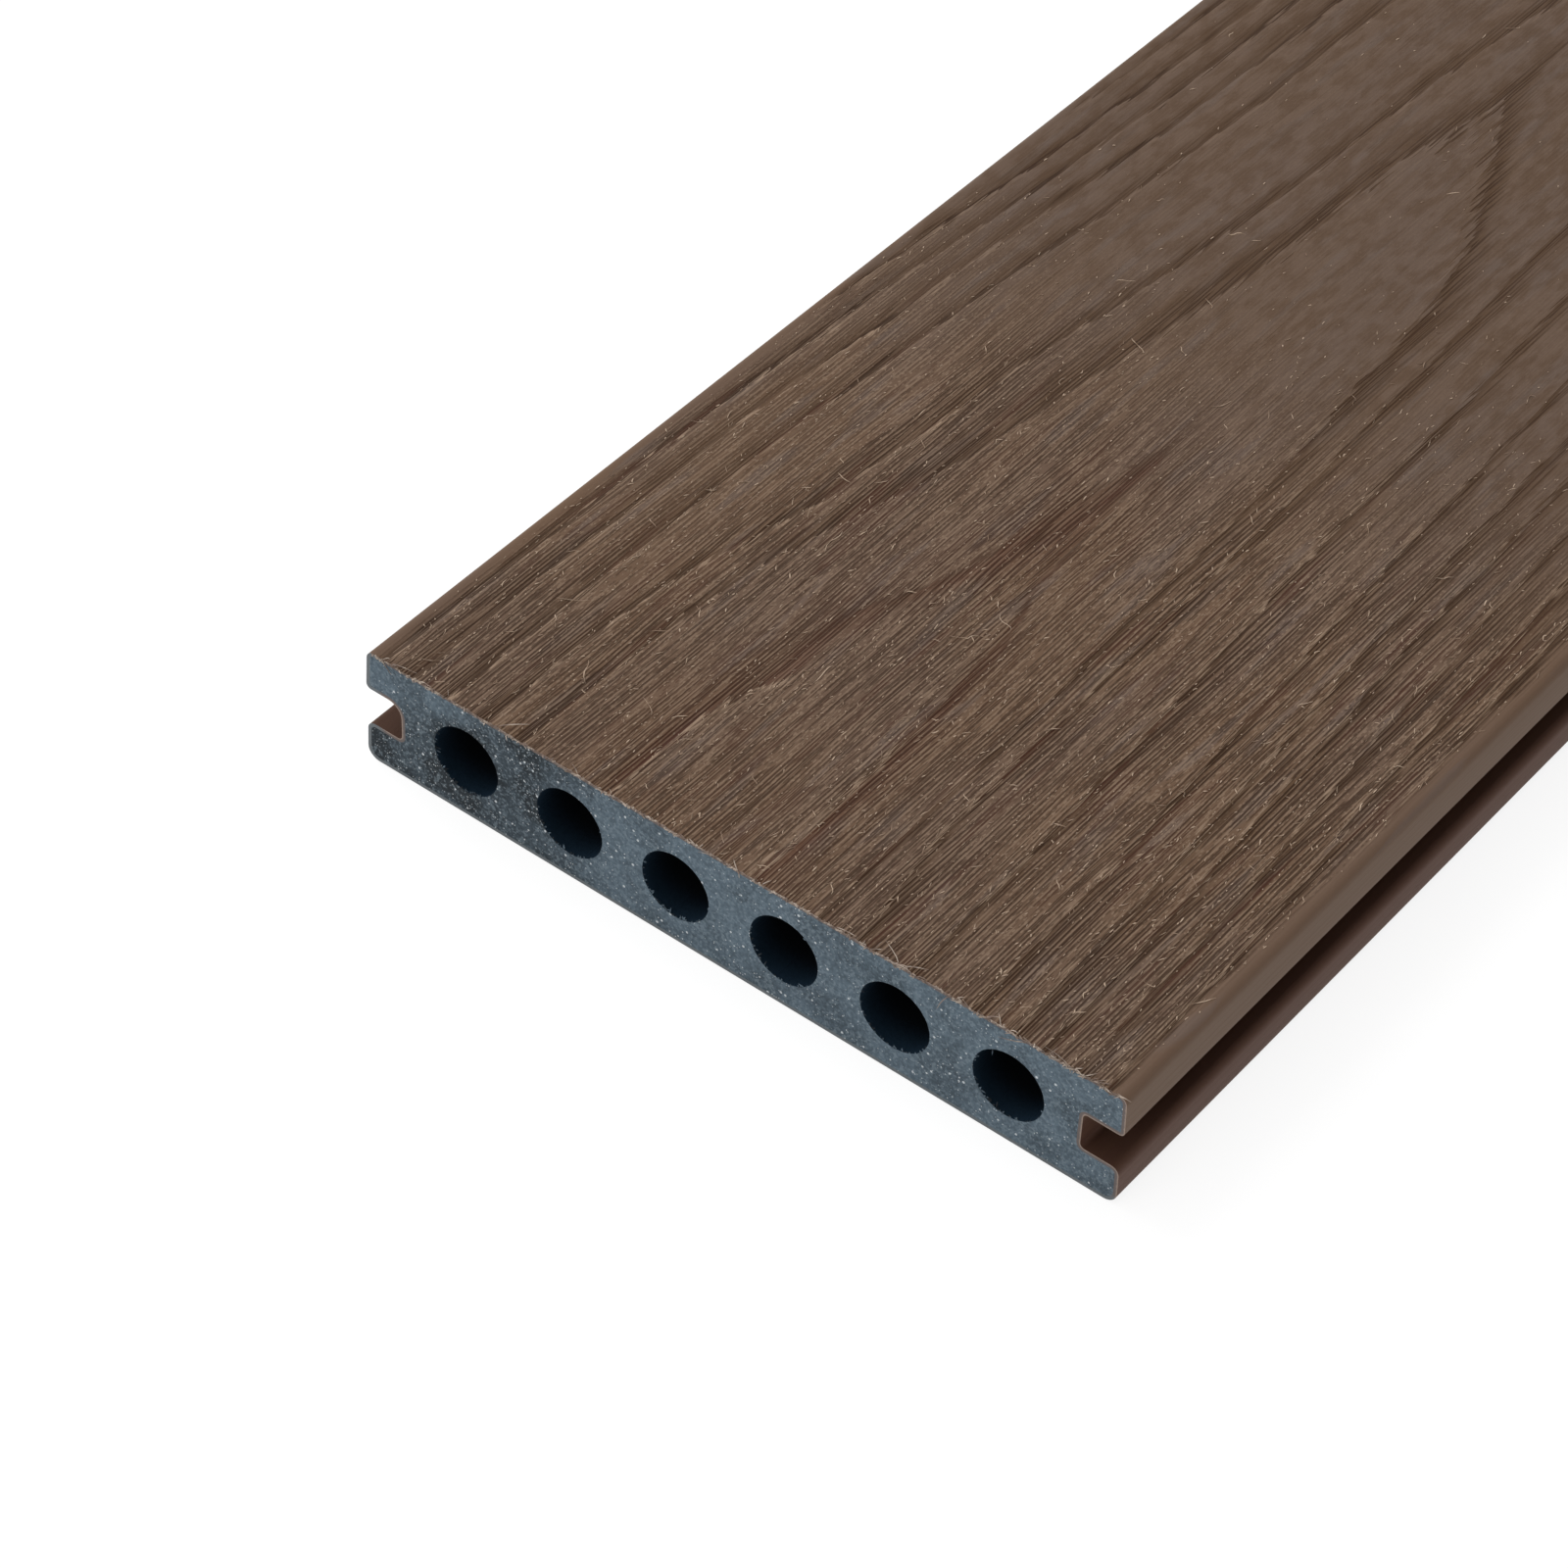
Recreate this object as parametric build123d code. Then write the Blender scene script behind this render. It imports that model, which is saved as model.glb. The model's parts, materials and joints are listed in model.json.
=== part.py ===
"""Grooved decking board of capped wood-plastic composite, teak coloured, lying face up.

The board is one extruded length: a grey core with a row of round bores, wrapped all round by a thin
brown cap. Each long edge has a clip groove between an upper and a lower lip.
X runs along the board, Y across it and Z up. The origin is the middle of the underside.
"""

import os

from build123d import *

# Length of stock
BOARD_LENGTH = 2200.0

# Bores and the walls around them, measured to the outside of the cap
BORE_COUNT = 6
BORE_DIAMETER = 12.5
WEB_THICKNESS = 7.6
EDGE_WALL = 6.5
TOP_WALL = 4.75
BOTTOM_WALL = 4.75

# Clip groove and its two lips
GROOVE_DEPTH = 7.0
GROOVE_HEIGHT = 6.9
LOWER_LIP_HEIGHT = 7.4
UPPER_LIP_DRAFT = 0.3
LOWER_LIP_DRAFT = 0.2

# Rounded corners of the section
TOP_EDGE_RADIUS = 1.5
UPPER_LIP_RADIUS = 0.9
LOWER_LIP_RADIUS = 1.5
BOTTOM_EDGE_RADIUS = 2.2
GROOVE_CORNER_RADIUS = 0.8

# Cap layer
CAP_THICKNESS = 0.65

# Sizes that follow
BORE_PITCH = BORE_DIAMETER + WEB_THICKNESS
BOARD_WIDTH = (BORE_COUNT - 1) * BORE_PITCH + BORE_DIAMETER + 2 * (EDGE_WALL + GROOVE_DEPTH)
BOARD_THICKNESS = BOTTOM_WALL + BORE_DIAMETER + TOP_WALL
BORE_AXIS_HEIGHT = BOTTOM_WALL + BORE_DIAMETER / 2


def edge_corners():
    """Corners of the long edge at +Y, from the underside up, each with its radius."""
    face = BOARD_WIDTH / 2
    groove_back = face - GROOVE_DEPTH
    groove_top = LOWER_LIP_HEIGHT + GROOVE_HEIGHT
    return [
        (face, 0, BOTTOM_EDGE_RADIUS),
        (face - LOWER_LIP_DRAFT, LOWER_LIP_HEIGHT, LOWER_LIP_RADIUS),
        (groove_back, LOWER_LIP_HEIGHT, GROOVE_CORNER_RADIUS),
        (groove_back, groove_top, GROOVE_CORNER_RADIUS),
        (face, groove_top, UPPER_LIP_RADIUS),
        (face - UPPER_LIP_DRAFT, BOARD_THICKNESS, TOP_EDGE_RADIUS),
    ]


def board_section():
    """Outline of the whole board: the +Y edge, then its mirror image back down the -Y edge."""
    right = edge_corners()
    left = [(-y, z, radius) for y, z, radius in reversed(right)]
    corners = right + left
    points = [(y, z) for y, z, _ in corners]
    radii = [radius for _, _, radius in corners]
    return make_face(FilletPolyline(*points, radius=radii, close=True))


def bore_section():
    """Row of round bores across the board."""
    row = GridLocations(BORE_PITCH, 1, BORE_COUNT, 1)
    return Pos(0, BORE_AXIS_HEIGHT) * row * Circle(BORE_DIAMETER / 2)


def carried_along_board(section):
    """A section in the YZ plane, extruded to the board's full length about its middle."""
    return extrude(Plane.YZ * section, BOARD_LENGTH / 2, both=True)


outline = board_section()
inside_cap = offset(outline, -CAP_THICKNESS)

core = carried_along_board(inside_cap - bore_section())
core.label = "core"

cap = carried_along_board(outline - inside_cap)
cap.label = "cap"

os.makedirs("parts", exist_ok=True)
for piece in (core, cap):
    export_step(piece, f"parts/{piece.label}.step")
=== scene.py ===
"""Looks of a teak-coloured capped composite decking board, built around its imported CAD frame.

Lengths in the shape functions are millimetres in the board's own frame: X along the board, Y across it,
Z up, origin in the middle of the underside. The photographed cut end is the one at -X, called the near
end, and distances along the grain are counted from it.
"""

import json
import math

import bpy
import numpy as np
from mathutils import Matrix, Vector
from mathutils.geometry import delaunay_2d_cdt


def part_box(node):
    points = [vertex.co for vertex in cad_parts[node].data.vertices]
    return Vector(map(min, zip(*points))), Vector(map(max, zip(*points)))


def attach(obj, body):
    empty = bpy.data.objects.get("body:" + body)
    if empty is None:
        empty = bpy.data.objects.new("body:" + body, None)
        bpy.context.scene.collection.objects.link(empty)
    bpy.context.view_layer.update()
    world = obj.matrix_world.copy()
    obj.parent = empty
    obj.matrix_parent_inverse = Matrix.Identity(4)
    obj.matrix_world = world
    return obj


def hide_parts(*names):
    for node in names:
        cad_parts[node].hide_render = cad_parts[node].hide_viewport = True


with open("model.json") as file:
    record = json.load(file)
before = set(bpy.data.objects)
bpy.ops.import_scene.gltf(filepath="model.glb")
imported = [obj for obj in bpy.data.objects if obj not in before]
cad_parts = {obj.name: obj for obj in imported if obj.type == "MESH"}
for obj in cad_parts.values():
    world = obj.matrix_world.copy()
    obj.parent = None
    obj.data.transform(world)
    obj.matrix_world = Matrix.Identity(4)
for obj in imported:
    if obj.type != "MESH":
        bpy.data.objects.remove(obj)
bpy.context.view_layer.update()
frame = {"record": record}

MM = 0.001

# Sizes read from the frame
cap_low, cap_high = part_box("cap")
_, core_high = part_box("core")
NEAR_END = cap_low.x / MM
LENGTH = (cap_high.x - cap_low.x) / MM
THICKNESS = cap_high.z / MM
CAP_THICKNESS = (cap_high.z - core_high.z) / MM
BORES = [mount for mount in frame["record"]["mounts"] if mount["kind"] == "bore"]
BORE_RADIUS = BORES[0]["dims"]["r_mm"]
BORE_CENTRES = np.array([mount["pos_m"][1:] for mount in BORES]) / MM

# Section of the long edges, as in the CAD model
EDGE_WALL = 6.5
GROOVE_DEPTH = 7.0
GROOVE_HEIGHT = 6.9
LOWER_LIP_HEIGHT = 7.4
UPPER_LIP_DRAFT = 0.3
LOWER_LIP_DRAFT = 0.2
TOP_EDGE_RADIUS = 1.5
UPPER_LIP_RADIUS = 0.9
LOWER_LIP_RADIUS = 1.5
BOTTOM_EDGE_RADIUS = 2.2
GROOVE_CORNER_RADIUS = 0.8
HALF_WIDTH = BORE_CENTRES[:, 0].max() + BORE_RADIUS + EDGE_WALL + GROOVE_DEPTH

# The groove's inner upper corner at +Y, the fourth one from the underside, is rounder than the others
MELTED_CORNER = 3
MELTED_CORNER_RADIUS = 2.6

# Fineness of the meshes
TOP_STEP = 0.5
ARC_POINTS = 7
NEAR_ROWS_LENGTH = 270.0
NEAR_ROW_STEP = 2.2
FAR_ROW_STEP = 13.6
BORE_SIDES = 96
SMOOTH_ANGLE = 40.0
SPARE_CELLS = 4
RIM_SLACK = 0.02
TINY = 1e-6
NO_SIZE = 1e-9

# Growth rings of the embossed face, in mm from the near end and from the board's middle. Each ring is
# two arms that meet at an apex, and the roller's pattern comes round again after a repeat.
REPEAT = 480.0
RINGS_PER_REPEAT = 4
RING_STARTS_UP = (22.5, 39.5, 46, 53.3, 60.2, 65.5, 70, 75, 81, 87, 93, 99)
RING_STARTS_DOWN = (-4, -16.1, -23, -32.4, -43, -50, -55, -61, -66.5, -71, -77, -83)
RING_COUNT = len(RING_STARTS_UP)
APEX_X = (78, 228, 345, 420)
APEX_Y = (4, 13.3, 11, 10)
RIDGE_START = 9.0
DRIFT_X = (0, 40, 80, 120, 160, 200, 240)
DRIFT_UP = (0, -0.3, -0.6, -3, -6.3, -8.6, -9.6)
DRIFT_DOWN = (0, 1.3, 4, 6.3, 8, 10, 12)
INNER_RINGS_UP = {
    1: ((0, 22.5), (29, 21.3), (38, 17.6), (56, 14.8), (70, 9.5)),
    2: ((0, 39.5), (42, 38), (60, 35), (80, 29.8), (120, 24.3), (160, 19.6), (205, 16.8)),
    3: ((0, 46), (34, 45.2), (50, 43), (70, 39), (110, 35.2), (170, 28.6), (240, 23.4)),
}
INNER_RINGS_DOWN = {
    1: ((0, -4), (33, -3.6), (52, -1.8), (67, 0.2)),
    2: ((0, -16.1), (64, -13.9), (145, -10), (178, -6.7), (206, 2.3)),
    3: ((0, -23), (22, -19.9), (66, -18), (145, -15.8), (200, -13.3), (240, -11.5)),
}

# Width of the dark band outside a ring's line, by ring and arm, and where its outer side is the crisp one
USUAL_REACH = 3.2
BAND_REACHES = {
    (1, 1): (
        (0, 4), (25, 3.2), (38, 5.6), (50, 6), (70, 3.8),
        (78, 7.5), (87, 7.2), (100, 5.9), (114, 4.3), (126, 2.2),
    ),
    (1, -1): ((0, 3.6), (30, 3), (60, 2), (78, 2.4), (87, 2.8), (100, 3.5), (114, 4), (126, 2.2)),
    (2, 1): ((0, 2.2), (50, 2.6), (75, 6), (150, 7.5), (190, 5.5), (228, 3.4), (245, 3.0)),
    (2, -1): ((0, 1.6), (120, 3.5), (228, 5), (245, 3.5)),
}
CRISP_OUTSIDE = {
    (0, 1): ((0, 0), (34, 0), (44, 1), (130, 1)),
    (0, -1): ((0, 0), (40, 0), (60, 1), (130, 1)),
    (1, 1): ((0, 0), (34, 0), (44, 1), (114, 1), (130, 0)),
    (1, -1): ((0, 0), (40, 0), (60, 1), (114, 1), (130, 0)),
}
NARROWEST_RING = 0.05

# A band's rise just outside the ring line and its fall at the reach, as shares of the reach, and how much
# of the fall goes over to the rise where the outer side is the crisp one
BAND_RISE = 0.06
BAND_FALL = 0.9
CRISP_SHARE = 0.6

# How far the grain strays from the ring lines
WANDER_FROM = 280.0
WANDER_OVER = 300.0
WANDER_ALONG = 60.0
WANDER_ACROSS = 16.0
WAVER = 0.9
RAGGEDNESS = 0.5

# Relief of the embossed face
BAND_DEPTH = 0.24
STREAK_DEPTH = 0.08
PLAIN_MARGIN = 0.8
MARGIN_FADE = 2.4

# Loose fibres: how many, what share of them lies within the fuzzy length of the near end, and how far
# their roots and tips keep from the board's edges
FIBRE_COUNT = 1100
FIBRE_NEAR_SHARE = 0.3
FLECK_COUNT = 6500
FLECK_NEAR_SHARE = 0.6
FRINGE_COUNT = 2400
TEETH_PER_RIM = 45
FUZZY_LENGTH = 180.0
FUZZY_LINE_WIDTH = 1.2
SHARE_OFF_LINES = 0.4
TRIES_PER_ROOT = 3
ROOT_LIFT = 0.05
ROOT_END_MARGIN = 1.0
ROOT_SIDE_MARGIN = 2.0
TIP_END_MARGIN = 0.5
TIP_SIDE_MARGIN = 1.8
FRINGE_SIDE_MARGIN = 1.2
FRINGE_LEAN = 0.15
FRINGE_LIFT = 0.1
TOOTH_INSET = 0.1
TOOTH_ROOT_DEPTH = 0.05

# Tubes of the fibres: their sides, how much thinner their tips are, and the direction their sides turn by
HAIR_SIDES = 3
HAIR_TAPER = 0.8
HAIR_TURN = np.array([0.31, -0.27, 0.91])


def eased(t):
    """Smooth step from 0 to 1: three t squared minus two t cubed, held flat outside."""
    t = np.clip(t, 0.0, 1.0)
    return t * t * (3.0 - 2.0 * t)


def streaks(x, y, length, width, seed):
    """Random values from 0 to 1 on a lattice of cells length by width, eased from corner to corner."""
    u = (x + length) / length
    v = (y + HALF_WIDTH + width) / width
    i = np.floor(u).astype(int)
    j = np.floor(v).astype(int)
    shape = (int(LENGTH / length) + SPARE_CELLS, int(2 * HALF_WIDTH / width) + SPARE_CELLS)
    lattice = np.random.default_rng(seed).random(shape)
    fu = eased(u - i)
    fv = eased(v - j)
    near = lattice[i, j] * (1 - fv) + lattice[i, j + 1] * fv
    far = lattice[i + 1, j] * (1 - fv) + lattice[i + 1, j + 1] * fv
    return near * (1 - fu) + far * fu


def smooth_path(x, points):
    """A curve y(x) through a few points: a cubic between each two, with the mean slope at each point."""
    px, py = np.array(points, float).T
    slope = np.gradient(py, px)
    k = np.clip(np.searchsorted(px, x) - 1, 0, len(px) - 2)
    h = px[k + 1] - px[k]
    t = np.clip((x - px[k]) / h, 0.0, 1.0)
    rise = py[k] * (1 + 2 * t) * (1 - t) ** 2 + py[k + 1] * t * t * (3 - 2 * t)
    return rise + h * (slope[k] * t * (1 - t) ** 2 - slope[k + 1] * t * t * (1 - t))


def ring_points(ring, starts, drift, inner):
    """Points of one arm of a ring over a repeat: from the near end, then to its apex, or to the arm
    that it is at the start of the next repeat."""
    if ring in inner:
        points = list(inner[ring])
    else:
        points = [(x, starts[ring - 1] + shift) for x, shift in zip(DRIFT_X, drift)]
    if ring <= RINGS_PER_REPEAT:
        return points + [(APEX_X[ring - 1], APEX_Y[ring - 1])]
    return points + [(REPEAT, starts[ring - 1 - RINGS_PER_REPEAT])]


def apex_of(ring):
    """Where along the board a ring closes, counted on through the repeats before and after."""
    turn, place = divmod(ring - 1, RINGS_PER_REPEAT)
    return APEX_X[place] + turn * REPEAT


def ring_field(x, y):
    """Ring number, ring width in mm, reach of the dark band in mm and how far its outer side is the
    crisp one, at points of the face.

    Between two ring lines the number rises evenly across the board by one. Inside the innermost line
    it also rises along the ridge, from the last apex to the next, so that each band closes in a point.
    """
    turn = np.floor(x / REPEAT)
    x = x - turn * REPEAT
    ridge = smooth_path(x, [(0, RIDGE_START), *zip(APEX_X, APEX_Y), (REPEAT, RIDGE_START)])
    result = np.zeros((4, *x.shape))
    arms = (
        (1, RING_STARTS_UP, DRIFT_UP, INNER_RINGS_UP),
        (-1, RING_STARTS_DOWN, DRIFT_DOWN, INNER_RINGS_DOWN),
    )
    for side, starts, drift, inner in arms:
        out = side * (y - ridge)
        inside = np.zeros_like(x)
        total = np.zeros_like(x)
        gap = np.full_like(x, RING_STARTS_UP[-1] - RING_STARTS_UP[-2])
        reach = np.full_like(x, USUAL_REACH)
        crisp = np.zeros_like(x)
        for ring in range(1, RING_COUNT + 1):
            is_open = x < apex_of(ring)
            line = side * (smooth_path(x, ring_points(ring, starts, drift, inner)) - ridge)
            line = np.where(is_open, np.maximum(line, inside + NARROWEST_RING), inside)
            step = np.maximum(line - inside, TINY)
            share = np.where(is_open, np.clip((out - inside) / step, 0.0, 1.0), 1.0)
            lift = np.clip((x - apex_of(ring - 1)) / (apex_of(ring) - apex_of(ring - 1)), 0.0, 1.0)
            share = np.where(is_open & (inside <= 0), lift + (1 - lift) * share, share)
            here = (out >= inside) & (out < line)
            gap = np.where(here, step, gap)
            arm = (ring - 1, side)
            if arm in BAND_REACHES:
                reach = np.where(here, smooth_path(x, BAND_REACHES[arm]), reach)
            if arm in CRISP_OUTSIDE:
                crisp = np.where(here, smooth_path(x, CRISP_OUTSIDE[arm]), crisp)
            total += share
            inside = np.maximum(line, inside)
        result = np.where(out >= 0, [total + turn * RINGS_PER_REPEAT, gap, reach, crisp], result)
    return result


def grain_at(x, y):
    """The ring field over the face, x from the near end, read at points that wander with the grain and
    step sideways in short ragged streaks, with the dark bands' reach varied along them."""
    away = eased((x - WANDER_FROM) / WANDER_OVER)
    x_wander = WANDER_ALONG * away * (streaks(x, y, length=330.0, width=90.0, seed=11) - 0.5)
    y_wander = WANDER_ACROSS * away * (streaks(x, y, length=260.0, width=70.0, seed=12) - 0.5)
    waver = WAVER * (streaks(x, y, length=38.0, width=9.0, seed=13) - 0.5)
    ragged = RAGGEDNESS * (streaks(x, y, length=14.0, width=1.2, seed=14) - 0.5)
    number, width, reach, crisp = ring_field(np.maximum(x + x_wander, 0), y + y_wander + waver + ragged)
    reach = reach * (0.6 + 0.8 * streaks(x, y, length=60.0, width=11.0, seed=15))
    widest = 0.9 * width
    return number, width, np.minimum(reach, widest), np.clip(crisp, 0, 1)


def band_at(beyond, reach, crisp):
    """Darkness of a band: it rises just outside the ring line and falls to nothing at its reach, quickly
    on the crisp side and slowly on the other."""
    rise = (BAND_RISE + CRISP_SHARE * crisp) * reach
    fall = (BAND_FALL - CRISP_SHARE * crisp) * reach
    return eased(beyond / rise) * (1 - eased((beyond - reach + fall) / fall))


def face_height(x, y):
    """Height of the embossed face: the board's top, less the depth of the dark bands and of random
    streaks along the board, fading to plain near the long edges."""
    number, width, reach, crisp = grain_at(x, y)
    band = band_at((number - np.floor(number)) * width, reach, crisp)
    streak = eased(2.0 * streaks(x, y, length=18.0, width=1.1, seed=21) - 0.9)
    return THICKNESS - (BAND_DEPTH * band + STREAK_DEPTH * streak) * embossing(x, y)


def embossing(x, y):
    """How far the face is embossed, eased from 0 at the long edges to 1 past a margin of ragged width."""
    inset = HALF_WIDTH - UPPER_LIP_DRAFT - TOP_EDGE_RADIUS - np.abs(y)
    return eased(inset / (PLAIN_MARGIN + MARGIN_FADE * streaks(x, y, length=5.0, width=4.0, seed=22)))


def edge_corners():
    """Corners of the long edge at +Y from the underside up, each with its radius."""
    groove_back = HALF_WIDTH - GROOVE_DEPTH
    groove_top = LOWER_LIP_HEIGHT + GROOVE_HEIGHT
    return [
        (HALF_WIDTH, 0, BOTTOM_EDGE_RADIUS),
        (HALF_WIDTH - LOWER_LIP_DRAFT, LOWER_LIP_HEIGHT, LOWER_LIP_RADIUS),
        (groove_back, LOWER_LIP_HEIGHT, GROOVE_CORNER_RADIUS),
        (groove_back, groove_top, GROOVE_CORNER_RADIUS),
        (HALF_WIDTH, groove_top, UPPER_LIP_RADIUS),
        (HALF_WIDTH - UPPER_LIP_DRAFT, THICKNESS, TOP_EDGE_RADIUS),
    ]


def board_loop():
    """Points (y, z) and outward normals of the board's closed section, counted from the underside up
    the +Y edge: an arc about each corner's centre, and even steps along the top. The last result says
    which points are on the top."""
    right = edge_corners()
    corners = np.array(right + [(-y, z, radius) for y, z, radius in reversed(right)])
    corners[MELTED_CORNER, 2] = MELTED_CORNER_RADIUS
    place, radius = corners[:, :2], corners[:, 2:]
    back = np.roll(place, 1, axis=0) - place
    ahead = np.roll(place, -1, axis=0) - place
    back /= np.linalg.norm(back, axis=1, keepdims=True)
    ahead /= np.linalg.norm(ahead, axis=1, keepdims=True)
    half = np.arccos((back * ahead).sum(1, keepdims=True)) / 2
    turn = np.sign(ahead[:, :1] * back[:, 1:] - ahead[:, 1:] * back[:, :1])
    middle = (back + ahead) / np.linalg.norm(back + ahead, axis=1, keepdims=True)
    centre = place + middle * radius / np.sin(half)
    first = place + back * radius / np.tan(half) - centre
    swing = turn * (math.pi - 2 * half) * np.linspace(0, 1, ARC_POINTS)
    angle = np.arctan2(first[:, 1:], first[:, :1]) + swing
    spoke = np.stack([np.cos(angle), np.sin(angle)], -1)
    arcs = centre[:, None] + radius[:, None] * spoke
    normals = turn[:, None] * spoke
    top_at = len(right) * ARC_POINTS
    points, normals = arcs.reshape(-1, 2), normals.reshape(-1, 2)
    start, end = points[top_at - 1, 0], points[top_at, 0]
    steps = np.linspace(start, end, int((start - end) / TOP_STEP) + 1)[1:-1]
    top = np.stack([steps, np.full_like(steps, THICKNESS)], 1)
    up = np.tile([0.0, 1.0], (len(steps), 1))
    on_top = np.zeros(len(points) + len(steps), bool)
    on_top[top_at - 1:top_at + len(steps) + 1] = True
    points = np.concatenate([points[:top_at], top, points[top_at:]])
    normals = np.concatenate([normals[:top_at], up, normals[top_at:]])
    return points, normals, on_top


def grid_faces(rows, columns, first=0):
    """Quads of a grid of points numbered row by row from first, joined round each row."""
    column = np.arange(columns)
    beside = (column + 1) % columns
    row = first + columns * np.arange(rows - 1)[:, None]
    quads = [row + column, row + beside, row + columns + beside, row + columns + column]
    return np.stack(quads, -1).reshape(-1, 4)


def mesh_piece(name, points, faces, slot, node=None):
    """A piece from an array of points in mm and a list of face arrays, riding on the board's one body."""
    mesh = bpy.data.meshes.new(name)
    corners = np.concatenate([part.ravel() for part in faces]).astype(np.int32)
    sides = np.concatenate([np.full(len(part), part.shape[1]) for part in faces])
    starts = np.concatenate([[0], np.cumsum(sides)[:-1]]).astype(np.int32)
    mesh.vertices.add(len(points))
    mesh.vertices.foreach_set("co", (points * MM).astype(np.float32).ravel())
    mesh.loops.add(len(corners))
    mesh.loops.foreach_set("vertex_index", corners)
    mesh.polygons.add(len(sides))
    mesh.polygons.foreach_set("loop_start", starts)
    mesh.update(calc_edges=True)
    mesh.polygons.foreach_set("use_smooth", np.ones(len(sides), bool))
    mesh.set_sharp_from_angle(angle=math.radians(SMOOTH_ANGLE))
    piece = bpy.data.objects.new(name, mesh)
    bpy.context.scene.collection.objects.link(piece)
    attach(piece, "root")
    if node:
        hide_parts(node)
    return piece


def give_attribute(piece, name, domain, values):
    """Stores one number for each point or face of a piece, for its material to read."""
    attribute = piece.data.attributes.new(name, "FLOAT", domain)
    attribute.data.foreach_set("value", np.asarray(values, np.float32).ravel())


def row_stations():
    """Distances of the cap's rows from the near end: close together where the grain is seen best."""
    near = np.linspace(0, NEAR_ROWS_LENGTH, int(NEAR_ROWS_LENGTH / NEAR_ROW_STEP) + 1)
    far = np.linspace(NEAR_ROWS_LENGTH, LENGTH, int((LENGTH - NEAR_ROWS_LENGTH) / FAR_ROW_STEP) + 1)
    return np.concatenate([near, far[1:]])


def make_cap(points, normals, on_top):
    """The cap: the section's loop carried along the board with its top pressed down to the embossed
    face, an inner loop one cap thickness inside it, and a ring that joins the two at each end."""
    stations = row_stations()
    rows, columns = len(stations), len(points)
    outer = np.empty((rows, columns, 3))
    outer[..., 0] = NEAR_END + stations[:, None]
    outer[..., 1:] = points
    along = np.repeat(stations[:, None], on_top.sum(), 1)
    across = np.repeat(points[None, on_top, 0], rows, 0)
    outer[:, on_top, 2] = face_height(along, across)
    inner = np.empty((2, columns, 3))
    inner[..., 0] = NEAR_END + np.array([0, LENGTH])[:, None]
    inner[..., 1:] = points - normals * CAP_THICKNESS
    inside = rows * columns
    skin = grid_faces(rows, columns)
    lining = grid_faces(2, columns, inside)[:, ::-1]
    column = np.arange(columns)
    beside = (column + 1) % columns
    near_ring = np.stack([column, inside + column, inside + beside, beside], 1)
    far_outer = (rows - 1) * columns
    far_inner = inside + columns
    far_ring = np.stack([far_outer + beside, far_inner + beside, far_inner + column, far_outer + column], 1)
    everything = np.concatenate([outer.reshape(-1, 3), inner.reshape(-1, 3)])
    cap = mesh_piece("cap_layer", everything, [skin, lining, near_ring, far_ring], "cap", "cap")
    grain = np.ones((4, rows, columns))
    grain[:, :, on_top] = grain_at(along, across)
    embossed = np.zeros((rows, columns))
    embossed[:, on_top] = embossing(along, across)
    hidden = np.zeros(2 * columns)
    names = ("ring", "ring_gap", "band_reach", "crisp_outside", "embossed")
    for name, values in zip(names, (*grain, embossed)):
        give_attribute(cap, name, "POINT", np.concatenate([values.ravel(), hidden]))
    cut = np.zeros(len(cap.data.polygons))
    cut[len(skin) + len(lining):] = 1
    give_attribute(cap, "sawn", "FACE", cut)
    give_attribute(cap, "cut_depth", "POINT", np.concatenate([np.zeros(inside), hidden + 1]))
    return cap


def make_core(points, normals):
    """The core: the cap's inner loop and the bores' circles carried straight from end to end, with
    each end closed by triangles between them."""
    loop = points - normals * CAP_THICKNESS
    turn = np.linspace(0, 2 * math.pi, BORE_SIDES, endpoint=False)
    circle = BORE_RADIUS * np.stack([np.cos(turn), np.sin(turn)], 1)
    circles = BORE_CENTRES[:, None] + circle
    flat = np.concatenate([loop, circles.reshape(-1, 2)])
    starts = [0] + [len(loop) + bore * BORE_SIDES for bore in range(len(circles))]
    counts = [len(loop)] + [BORE_SIDES] * len(circles)
    loops = list(zip(starts, counts))
    edges = [(first + i, first + (i + 1) % size) for first, size in loops for i in range(size)]
    inside_only = 1
    places = [tuple(place) for place in flat]
    _, _, triangles, sources, _, _ = delaunay_2d_cdt(places, edges, [], inside_only, TINY)
    first_source = np.array([source[0] for source in sources])
    triangles = first_source[np.array(triangles)]
    centroid = flat[triangles].mean(1)
    away = np.linalg.norm(centroid[:, None] - BORE_CENTRES, axis=2).min(1)
    triangles = triangles[away > BORE_RADIUS * math.cos(math.pi / BORE_SIDES) - RIM_SLACK]
    a, b, c = flat[triangles].transpose(1, 0, 2)
    area = (b - a)[:, 0] * (c - a)[:, 1] - (b - a)[:, 1] * (c - a)[:, 0]
    triangles = np.where(area[:, None] > 0, triangles, triangles[:, ::-1])
    triangles = triangles[np.abs(area) > NO_SIZE]
    count = len(flat)
    ends = np.empty((2, count, 3))
    ends[..., 0] = NEAR_END + np.array([0, LENGTH])[:, None]
    ends[..., 1:] = flat
    index = np.arange(count)
    walls = []
    for number, (first, size) in enumerate(loops):
        here = index[first:first + size]
        after = np.roll(here, -1)
        wall = np.stack([here, after, after + count, here + count], 1)
        walls.append(wall if number == 0 else wall[:, ::-1])
    bore_walls = np.concatenate(walls[1:])
    faces = [walls[0], bore_walls, triangles[:, ::-1], triangles + count]
    core = mesh_piece("bored_core", ends.reshape(-1, 3), faces, "core", "core")
    bored = np.zeros(len(core.data.polygons))
    bored[len(walls[0]):len(walls[0]) + len(bore_walls)] = 1
    give_attribute(core, "bored", "FACE", bored)
    return core


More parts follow.
